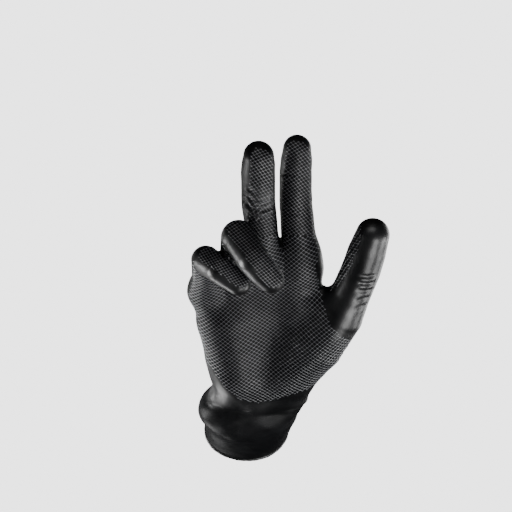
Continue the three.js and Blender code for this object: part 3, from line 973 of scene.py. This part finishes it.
def link(tree, *rows):
    """Links a tree's nodes, in rows of: from node, its output, to node, its input."""
    for source, output, target, entry in rows:
        tree.links.new(source.outputs[output], target.inputs[entry])


def rubber_group():
    """The rubber film's surface: soft clouding, and its height with fine grain."""
    name = "rubber surface"
    if name in bpy.data.node_groups:
        return bpy.data.node_groups[name]
    group = bpy.data.node_groups.new(name, "ShaderNodeTree")
    new_socket = group.interface.new_socket
    for label, default in (("Cloud Size", 60.0), ("Grain Size", 1800.0)):
        socket = new_socket(label, in_out="INPUT", socket_type="NodeSocketFloat")
        socket.default_value = default
    for label in ("Cloud", "Height"):
        new_socket(label, in_out="OUTPUT", socket_type="NodeSocketFloat")
    nodes = group.nodes
    inputs, outputs = nodes.new("NodeGroupInput"), nodes.new("NodeGroupOutput")
    place = nodes.new("ShaderNodeTexCoord")
    cloud, grain = nodes.new("ShaderNodeTexNoise"), nodes.new("ShaderNodeTexNoise")
    set_inputs(cloud, {"Detail": 5, "Distortion": 0.6})
    set_inputs(grain, {"Detail": 3})
    height = nodes.new("ShaderNodeMath")
    height.operation = "MULTIPLY_ADD"
    height.inputs[1].default_value = 0.25
    link(
        group,
        (place, "Object", cloud, "Vector"),
        (place, "Object", grain, "Vector"),
        (inputs, "Cloud Size", cloud, "Scale"),
        (inputs, "Grain Size", grain, "Scale"),
        (grain, "Fac", height, 0),
        (cloud, "Fac", height, 2),
        (cloud, "Fac", outputs, "Cloud"),
        (height, "Value", outputs, "Height"),
    )
    return group


def rubber(name, colour, other_colour, roughness, bump, specular, worn=None, sheen=None):
    """A rubber with fine grain. Its colour goes over to another with clouding, or with the mask
    named as worn, which paints the other colour on as a highlight, and it has a clouded satin
    skin where the mask named as sheen is."""
    material = bpy.data.materials.new(name)
    material.use_nodes = True
    tree = material.node_tree
    nodes = tree.nodes
    shader = nodes["Principled BSDF"]
    set_inputs(shader, {"Specular IOR Level": specular})
    surface = nodes.new("ShaderNodeGroup")
    surface.node_tree = rubber_group()
    tint = nodes.new("ShaderNodeMix")
    tint.data_type = "RGBA"
    set_inputs(tint, {"A": (*colour, 1), "B": (*other_colour, 1)})
    satin = ranged(nodes, (0.3, 0.7), roughness)
    relief = nodes.new("ShaderNodeBump")
    set_inputs(relief, {"Strength": bump, "Distance": 0.0004})
    link(
        tree,
        (tint, "Result", shader, "Base Color"),
        (surface, "Cloud", satin, "Value"),
        (satin, "Result", shader, "Roughness"),
        (surface, "Height", relief, "Height"),
        (relief, "Normal", shader, "Normal"),
    )
    if sheen:
        set_inputs(shader, {"Coat Roughness": SKIN_ROUGHNESS, "Coat IOR": 1.5})
        clouded = ranged(nodes, (0.4, 0.62), (0.55, 1))
        weight = nodes.new("ShaderNodeMath")
        weight.operation = "MULTIPLY"
        link(
            tree,
            (relief, "Normal", shader, "Coat Normal"),
            (surface, "Cloud", clouded, "Value"),
            (mask_of(nodes, sheen), "Fac", weight, 0),
            (clouded, "Result", weight, 1),
            (weight, "Value", shader, "Coat Weight"),
        )
    # The mask named as worn is a painted highlight: it lightens the colour toward the other one on the
    # net's crowns
    if worn:
        link(tree, (mask_of(nodes, worn), "Fac", tint, "Factor"))
    else:
        cloud = ranged(nodes, (0.45, 0.75), (0, 1))
        link(tree, (surface, "Cloud", cloud, "Value"), (cloud, "Result", tint, "Factor"))
    return material


def mask_of(nodes, name):
    """A node that reads what a mesh keeps under a name."""
    mask = nodes.new("ShaderNodeAttribute")
    mask.attribute_name = name
    return mask


def ranged(nodes, source, target):
    """A node that carries one range of values over to another."""
    node = nodes.new("ShaderNodeMapRange")
    node.inputs["From Min"].default_value, node.inputs["From Max"].default_value = source
    node.inputs["To Min"].default_value, node.inputs["To Max"].default_value = target
    return node


def seen_and_cast(tree, seen, cast):
    """An even light tone for the stage, with one strength as it is seen and one as it lights."""
    path = tree.nodes.new("ShaderNodeLightPath")
    strength = ranged(tree.nodes, (0, 1), (cast, seen))
    link(tree, (path, "Is Camera Ray", strength, "Value"))
    return strength


def floor_material(colour, seen, cast):
    """A pale matt floor that looks as even as the backdrop."""
    material = bpy.data.materials.new("pale floor")
    material.use_nodes = True
    tree = material.node_tree
    shader = tree.nodes["Principled BSDF"]
    matt = {"Base Color": (0.02, 0.02, 0.02, 1), "Roughness": 0.9, "Specular IOR Level": 0}
    set_inputs(shader, {**matt, "Emission Color": (*colour, 1)})
    link(tree, (seen_and_cast(tree, seen, cast), "Result", shader, "Emission Strength"))
    return material


# The soft lights, which all look at one point: name, angle round it from the camera in degrees,
# rise in degrees, distance, width and height in metres, and power in watts.
LIGHTS = (
    ("left", -98, -14, 0.45, (0.2, 0.18), 2.8),
    ("low left", -124, -44, 0.75, (0.3, 0.3), 2.6),
    ("low front", 34, -44, 0.75, (0.4, 0.38), 6.2),
    ("right", 92, -26, 0.75, (0.35, 0.45), 4.5),
    ("back right", 135, 0, 0.75, (0.4, 0.6), 3.0),
    ("back left", -138, 0, 0.75, (0.4, 0.6), 0.7),
    ("high", -12, 40, 0.75, (0.6, 0.4), 2.2),
)
LIGHT_TARGET = (0.02, -0.08, 0.08)


def soft_light(name, place, target, size, power):
    """A large soft light that looks at a point."""
    data = bpy.data.lights.new(name, "AREA")
    data.shape = "RECTANGLE"
    data.size, data.size_y = size
    data.energy = power
    light = bpy.data.objects.new(name, data)
    light.location = place
    light.rotation_mode = "QUATERNION"
    light.rotation_quaternion = (Vector(target) - Vector(place)).to_track_quat("-Z", "Y")
    bpy.context.scene.collection.objects.link(light)


def length(name, description, default, least):
    """A setting in metres."""
    return FloatProperty(
        name=name, description=description, default=default, min=least, unit="LENGTH"
    )


def tone(name, description, default):
    """A setting that is a colour."""
    return FloatVectorProperty(
        name=name, description=description, default=default, subtype="COLOR", size=3, min=0, max=1
    )


class GloveSettings(bpy.types.PropertyGroup):
    """Sizes and colours of the glove and its stage."""

    film_cell: length("Film Mesh", "Spacing of the film's points", 0.00102, 0.0008)
    film_thickness: length("Film Thickness", "Thickness of the rubber film", 0.0007, 0.0004)
    bead_width: length("Bead Width", "Width of the roll round the mouth", 0.0028, 0.001)
    line_width: length("Net Line Width", "Width of a raised line of the grip net", 0.0005, 0.0002)
    line_height: length("Net Line Height", "Height of a raised line of the grip net", 0.00024, 0.0001)
    dot_width: length("Net Dot Width", "Width of a raised dot where lines cross", 0.0014, 0.0004)
    dot_height: length("Net Dot Height", "Height of a raised dot where lines cross", 0.00034, 0.0001)
    rubber_colour: tone("Rubber", "The film's colour", (0.0025, 0.0026, 0.003))
    worn_colour: tone(
        "Clouded Rubber", "The film's colour where it is clouded", (0.006, 0.0062, 0.007)
    )
    # The lighter colour painted on the net's crowns, as a painted highlight
    net_highlight_colour: tone("Net Highlight", "The raised net's colour on its crowns", (0.25, 0.257, 0.275))
    backdrop_colour: tone("Backdrop", "The floor's and backdrop's colour", (0.995, 0.995, 1.0))
    backdrop_seen: FloatProperty(
        name="Backdrop Tone", description="How light the backdrop looks", default=3.15, min=0,
    )
    backdrop_cast: FloatProperty(
        name="Backdrop Light", description="How much light the backdrop gives", default=0.02, min=0,
    )


# The film's inner side is this much coarser than its outer side
INNER_CELL = 2.8


class GLOVE_OT_film(bpy.types.Operator):
    """Makes the rubber film with its folds and wrinkles, its inside and its rolled bead."""

    bl_idname = "glove.film"
    bl_label = "Film"

    def execute(self, context):
        settings = context.scene.glove
        cell = settings.film_cell / MM
        outer, outer_faces = cut_at_mouth(*surface_net(to_glove, 0, cell))
        inner, inner_faces = cut_at_mouth(
            *surface_net(to_glove, settings.film_thickness / MM, INNER_CELL * cell)
        )
        shells = []
        for points, faces in ((outer, outer_faces), (inner, inner_faces[:, ::-1])):
            normals = slope_of(to_glove, points)
            normals /= np.maximum(np.linalg.norm(normals, axis=1), 1e-6)[:, None]
            shells.append((points + normals * lift(points, normals)[:, None], faces))
        material = rubber(
            "satin black nitrile", settings.rubber_colour, settings.worn_colour,
            roughness=(0.42, 0.56), bump=0.3, specular=0.06, sheen="sheen",
        )
        film = mesh_object("film", [*shells, bead_mesh(settings.bead_width / MM)], material)
        sheen = np.ones(len(film.data.vertices))
        sheen[: len(outer)] = sheen_over(outer, outer_faces)
        mark(film, "sheen", sheen)
        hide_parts("glove")
        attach(film, "root")
        return {"FINISHED"}


class GLOVE_OT_grip_net(bpy.types.Operator):
    """Lays the raised grip net over the palm and the fingers."""

    bl_idname = "glove.grip_net"
    bl_label = "Grip Net"

    def execute(self, context):
        settings = context.scene.glove
        # The net's crowns are painted lighter through the crown mask, a painted highlight on its ridges
        # and dots
        material = rubber(
            "raised nitrile net", settings.rubber_colour, settings.net_highlight_colour,
            roughness=(0.28, 0.38), bump=0.05, specular=0.6, worn="crown",
        )
        for name in NETS:
            parts = [
                ridge_mesh(name, settings.line_width / MM, settings.line_height / MM),
                dot_mesh(name, settings.dot_width / MM, settings.dot_height / MM),
            ]
            net = mesh_object(f"{name}_net", [part[:2] for part in parts], material)
            mark(net, "crown", np.concatenate([part[2] for part in parts]))
            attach(net, "root")
        return {"FINISHED"}


class GLOVE_OT_stage(bpy.types.Operator):
    """Sets out the floor, the backdrop, the lights and the camera."""

    bl_idname = "glove.stage"
    bl_label = "Stage"

    def execute(self, context):
        settings = context.scene.glove
        scene = context.scene
        mesh = bpy.data.meshes.new("floor")
        half, level = 6.0, -0.9
        corners = [(-half, -half, level), (half, -half, level), (half, half, level)]
        mesh.from_pydata([*corners, (-half, half, level)], [], [(0, 1, 2, 3)])
        colour = settings.backdrop_colour
        seen, cast = settings.backdrop_seen, settings.backdrop_cast
        mesh.materials.append(floor_material(colour, seen, cast))
        floor = bpy.data.objects.new("floor", mesh)
        scene.collection.objects.link(floor)

        world = bpy.data.worlds.new("studio")
        world.use_nodes = True
        tree = world.node_tree
        backdrop = tree.nodes["Background"]
        set_inputs(backdrop, {"Color": (*colour, 1)})
        link(tree, (seen_and_cast(tree, seen, cast), "Result", backdrop, "Strength"))
        scene.world = world

        target = Vector(LIGHT_TARGET)
        for name, around, rise, distance, size, power in LIGHTS:
            around, rise = math.radians(around), math.radians(rise)
            across, up = math.cos(rise) * distance, math.sin(rise) * distance
            place = target + Vector((math.sin(around) * across, -math.cos(around) * across, up))
            soft_light(f"{name} light", place, target, size, power)

        data = bpy.data.cameras.new("camera")
        data.angle = 2 * math.atan(HALF_VIEW)
        data.dof.use_dof = False
        camera = bpy.data.objects.new("camera", data)
        camera.location = EYE * MM
        camera.rotation_euler = (math.pi / 2, 0, 0)
        scene.collection.objects.link(camera)
        scene.camera = camera
        return {"FINISHED"}


class GLOVE_PT_panel(bpy.types.Panel):
    """Lists the glove's pieces and settings."""

    bl_label = "Nitrile Glove"
    bl_space_type = "VIEW_3D"
    bl_region_type = "UI"
    bl_category = "Glove"

    def draw(self, context):
        for operator in OPERATORS:
            self.layout.operator(operator.bl_idname)
        for name in GloveSettings.__annotations__:
            self.layout.prop(context.scene.glove, name)


OPERATORS = (GLOVE_OT_film, GLOVE_OT_grip_net, GLOVE_OT_stage)
CLASSES = (GloveSettings, *OPERATORS, GLOVE_PT_panel)


def register():
    for each in CLASSES:
        bpy.utils.register_class(each)
    bpy.types.Scene.glove = PointerProperty(type=GloveSettings)


def unregister():
    del bpy.types.Scene.glove
    for each in reversed(CLASSES):
        bpy.utils.unregister_class(each)


def main():
    register()
    bpy.ops.glove.film()
    bpy.ops.glove.grip_net()
    bpy.ops.glove.stage()


if __name__ == "__main__":
    main()
